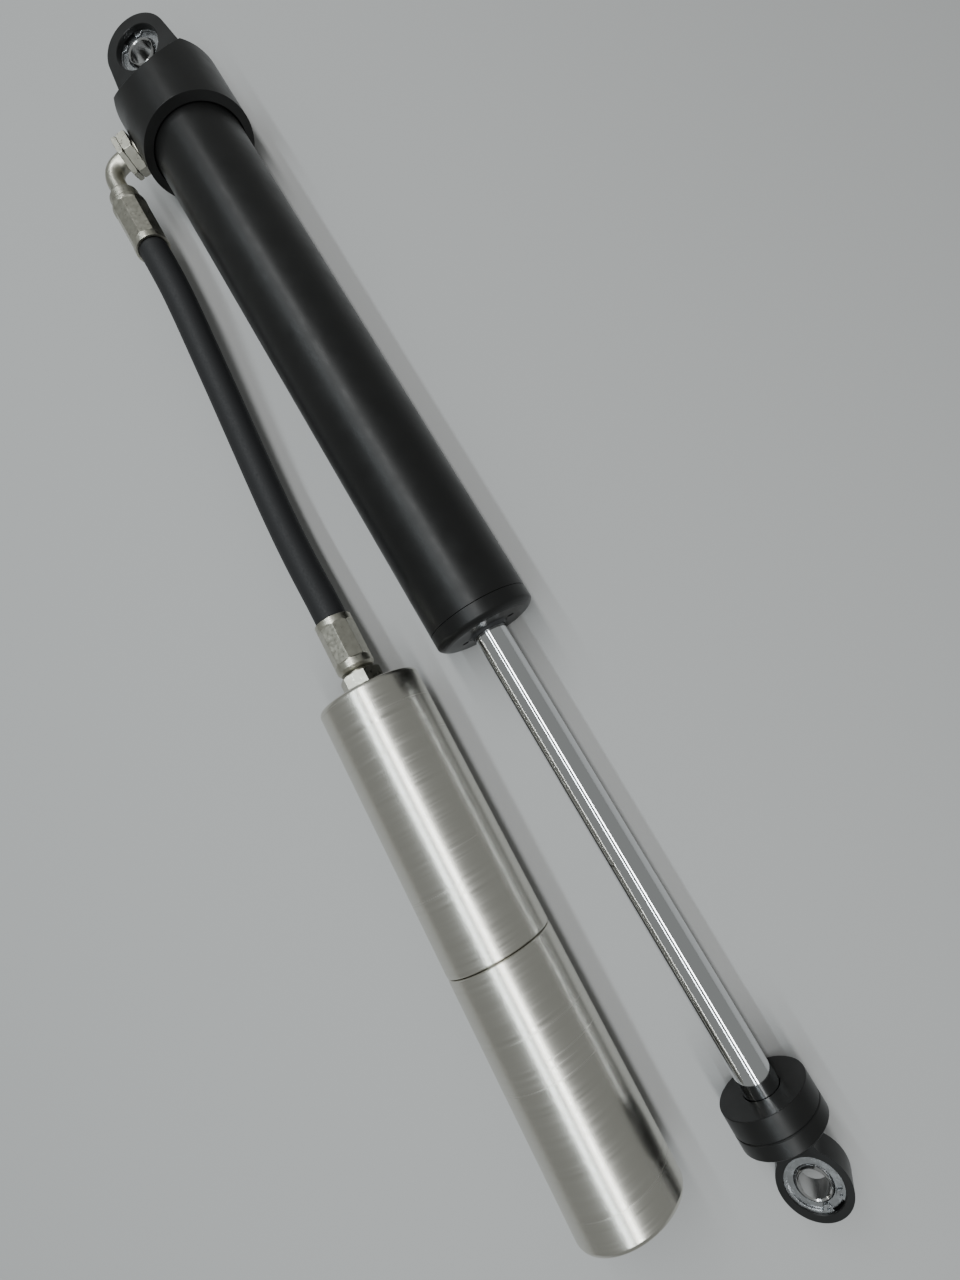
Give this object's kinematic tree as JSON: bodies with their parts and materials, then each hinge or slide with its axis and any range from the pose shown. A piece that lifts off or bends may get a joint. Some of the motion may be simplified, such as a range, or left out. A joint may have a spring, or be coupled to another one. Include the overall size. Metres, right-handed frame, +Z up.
{
  "type": "hydraulic cylinder",
  "caption": "Long-stroke hydraulic cylinder with chromed rod, spherical bearing eyes and a remote cylindrical gas reservoir on a short crimped hose.",
  "frame": {"origin": "centre of the object's footprint on the surface it lies on, hose not counted", "axes": "+X from the head cap towards the rod end, +Z up from the surface; the reservoir lies on the -Y side"},
  "size_m": [0.9346, 0.1758, 0.0855],
  "materials": {
    "black_anodised": "satin black anodised",
    "hard_chrome": "polished hard chrome",
    "ball_steel": "ground steel",
    "turned_aluminium": "fine turned, bright",
    "plain_aluminium": "machined",
    "zinc_plate": "zinc plated",
    "spring_steel": "spring steel",
    "bronze": "bearing bronze",
    "hose_rubber": "matte, fabric marked",
    "bumper_rubber": "matte",
    "seal_rubber": "semi-matte",
    "wear_band": "filled plastic"
  },
  "bodies": {
    "cylinder": {"head_cap": "black_anodised", "head_cap_oring": "seal_rubber", "upper_bearing_race": "spring_steel", "upper_snap_ring_top": "spring_steel", "upper_snap_ring_bottom": "spring_steel", "cylinder_tube": "black_anodised", "gland_cap": "black_anodised", "gland_body": "plain_aluminium", "gland_oring": "seal_rubber", "gland_bush": "bronze", "rod_seal": "seal_rubber", "rod_wiper": "seal_rubber", "port_adaptor": "zinc_plate", "swivel_nut": "zinc_plate", "elbow": "zinc_plate", "upper_ferrule": "zinc_plate", "hose": "hose_rubber"},
    "upper_ball": {"upper_bearing_ball": "ball_steel"},
    "piston_band": {"piston_band": "wear_band"},
    "rod": {"rod": "hard_chrome", "piston": "plain_aluminium", "compression_shims": "spring_steel", "rebound_shims": "spring_steel", "piston_nut": "spring_steel", "rebound_bumper": "bumper_rubber", "bump_collar": "black_anodised", "rod_end": "black_anodised", "lower_bearing_race": "spring_steel", "lower_snap_ring_top": "spring_steel", "lower_snap_ring_bottom": "spring_steel"},
    "lower_ball": {"lower_bearing_ball": "ball_steel"},
    "reservoir": {"reservoir_upper": "turned_aluminium", "reservoir_lower": "turned_aluminium", "reservoir_end_cap": "black_anodised", "end_cap_oring": "seal_rubber", "end_cap_snap_ring": "spring_steel", "gas_valve_body": "spring_steel", "valve_cap": "spring_steel", "reservoir_adaptor": "zinc_plate", "hose_stem": "zinc_plate", "lower_ferrule": "zinc_plate"},
    "floating_piston": {"floating_piston": "plain_aluminium", "floating_piston_seal": "seal_rubber", "floating_piston_band": "wear_band"},
    "valve_core": {"gas_valve_core": "bronze"}
  },
  "joints": [
    {"name": "rod_slide", "type": "slide", "parent": "cylinder", "child": "piston_band", "axis": [-0.9998, 0, 0.0175], "range_m": [0, 0.3048]},
    {"name": "rod_turn", "type": "hinge", "parent": "piston_band", "child": "rod", "pos_m": [0.0765, 0.0455, 0.03506], "axis": [0.9998, 0, -0.0175], "continuous": true},
    {"name": "upper_ball_turn", "type": "hinge", "parent": "cylinder", "child": "upper_ball", "pos_m": [-0.43992, 0.0455, 0.04411], "axis": [0.0174, -0.0998, 0.9949], "continuous": true},
    {"name": "lower_ball_turn", "type": "hinge", "parent": "rod", "child": "lower_ball", "pos_m": [0.44754, 0.0455, 0.02857], "axis": [0.0168, -0.2764, 0.9609], "continuous": true},
    {"name": "hose_flex", "type": "hinge", "parent": "cylinder", "child": "reservoir", "pos_m": [-0.1388, -0.0356, 0.0301], "axis": [0, 0, 1], "range_deg": [-20, 1], "deforming": ["hose"]},
    {"name": "floating_piston_slide", "type": "slide", "parent": "reservoir", "child": "floating_piston", "axis": [0.9996, -0.0279, 0], "range_m": [0, 0.0376]},
    {"name": "valve_core_push", "type": "slide", "parent": "reservoir", "child": "valve_core", "axis": [-0.9996, 0.0279, 0], "range_m": [0, 0.0012]}
  ],
  "couplings": [
    {"joint": "floating_piston_slide", "follows": "rod_slide", "ratio": 0.1225}
  ]
}
